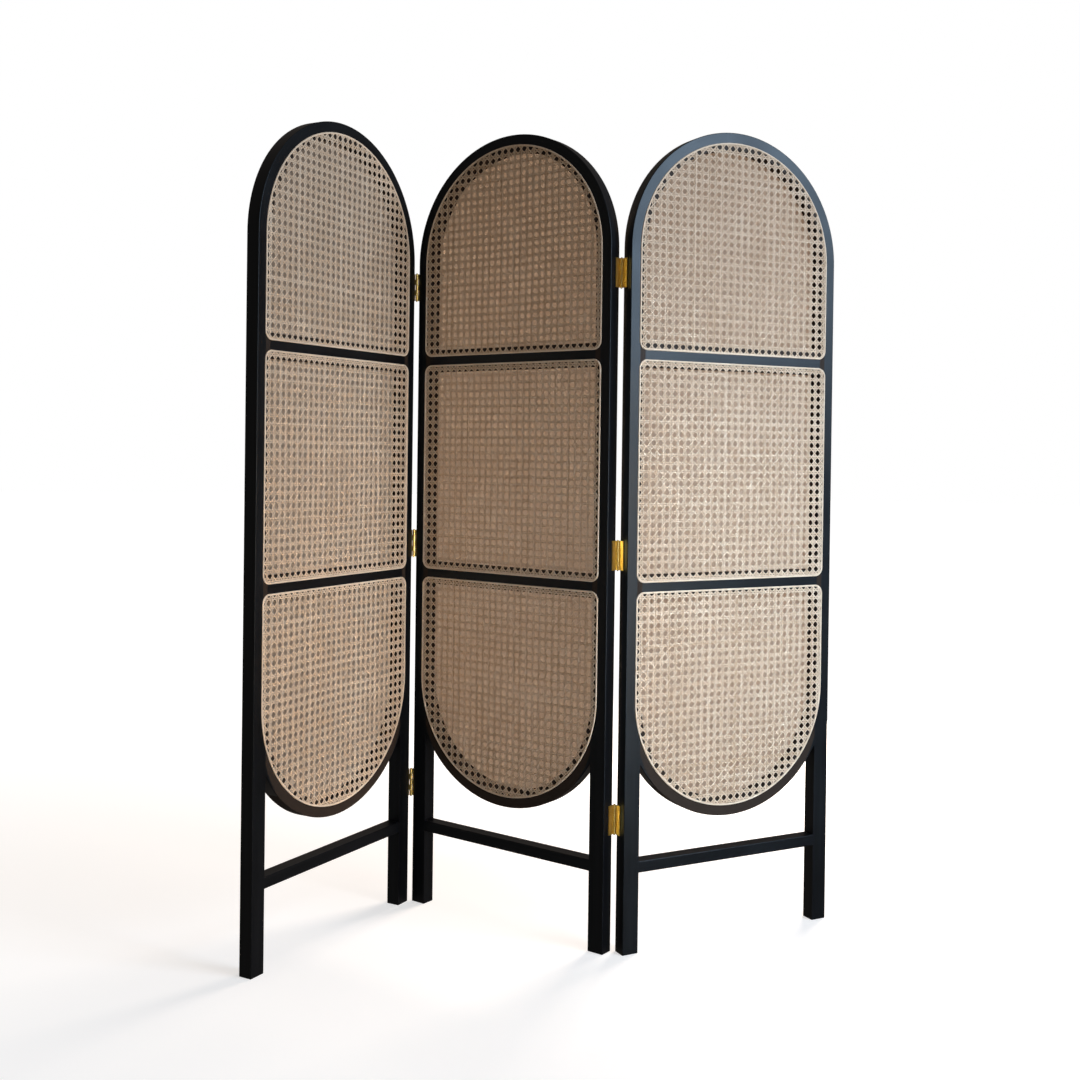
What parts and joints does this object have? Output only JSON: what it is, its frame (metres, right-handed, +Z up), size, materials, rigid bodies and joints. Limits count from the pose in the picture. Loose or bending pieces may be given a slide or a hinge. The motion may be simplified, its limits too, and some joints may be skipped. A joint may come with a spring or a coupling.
{
  "type": "folding room divider screen",
  "caption": "Zig-zag room divider screen with hinged, round-topped black wooden panels, lined cane webbing in the windows and brass butt hinges.",
  "frame": {"origin": "centre of the open screen's footprint, on the floor", "axes": "+Z up the panels, -Y out of the screen's front, +X to the right as seen from the front, along the open screen"},
  "size_m": [1.2834, 0.5054, 1.8],
  "materials": {
    "black_wood": "satin",
    "cane_webbing": "matte",
    "lining_cloth": "matte",
    "reed": "matte",
    "brass": "satin",
    "dowel_beech": "matte"
  },
  "bodies": {
    "middle_panel": {"left_hinge_inner_leaves": "brass", "left_hinge_pins": "brass", "middle_panel_back_splines": "reed", "middle_panel_bottom_arch": "black_wood", "middle_panel_bottom_cane": "cane_webbing", "middle_panel_bottom_lining": "lining_cloth", "middle_panel_dowels": "dowel_beech", "middle_panel_front_splines": "reed", "middle_panel_hinge_screws": "brass", "middle_panel_left_stile": "black_wood", "middle_panel_lower_rail": "black_wood", "middle_panel_middle_cane": "cane_webbing", "middle_panel_middle_lining": "lining_cloth", "middle_panel_right_stile": "black_wood", "middle_panel_stretcher": "black_wood", "middle_panel_top_arch": "black_wood", "middle_panel_top_cane": "cane_webbing", "middle_panel_top_lining": "lining_cloth", "middle_panel_upper_rail": "black_wood", "right_hinge_inner_leaves": "brass", "right_hinge_pins": "brass"},
    "left_panel": {"left_hinge_outer_leaves": "brass", "left_panel_back_splines": "reed", "left_panel_bottom_arch": "black_wood", "left_panel_bottom_cane": "cane_webbing", "left_panel_bottom_lining": "lining_cloth", "left_panel_dowels": "dowel_beech", "left_panel_front_splines": "reed", "left_panel_hinge_screws": "brass", "left_panel_left_stile": "black_wood", "left_panel_lower_rail": "black_wood", "left_panel_middle_cane": "cane_webbing", "left_panel_middle_lining": "lining_cloth", "left_panel_right_stile": "black_wood", "left_panel_stretcher": "black_wood", "left_panel_top_arch": "black_wood", "left_panel_top_cane": "cane_webbing", "left_panel_top_lining": "lining_cloth", "left_panel_upper_rail": "black_wood"},
    "right_panel": {"right_hinge_outer_leaves": "brass", "right_panel_back_splines": "reed", "right_panel_bottom_arch": "black_wood", "right_panel_bottom_cane": "cane_webbing", "right_panel_bottom_lining": "lining_cloth", "right_panel_dowels": "dowel_beech", "right_panel_front_splines": "reed", "right_panel_hinge_screws": "brass", "right_panel_left_stile": "black_wood", "right_panel_lower_rail": "black_wood", "right_panel_middle_cane": "cane_webbing", "right_panel_middle_lining": "lining_cloth", "right_panel_right_stile": "black_wood", "right_panel_stretcher": "black_wood", "right_panel_top_arch": "black_wood", "right_panel_top_cane": "cane_webbing", "right_panel_top_lining": "lining_cloth", "right_panel_upper_rail": "black_wood"}
  },
  "joints": [
    {"name": "left_fold", "type": "hinge", "parent": "middle_panel", "child": "left_panel", "pos_m": [-0.33851, 0.22659, 0], "axis": [0, 0, 1], "range_deg": [-97, 83]},
    {"name": "right_fold", "type": "hinge", "parent": "middle_panel", "child": "right_panel", "pos_m": [0.1328, -0.0729, 0], "axis": [0, 0, 1], "range_deg": [-63.5, 116.5]}
  ]
}
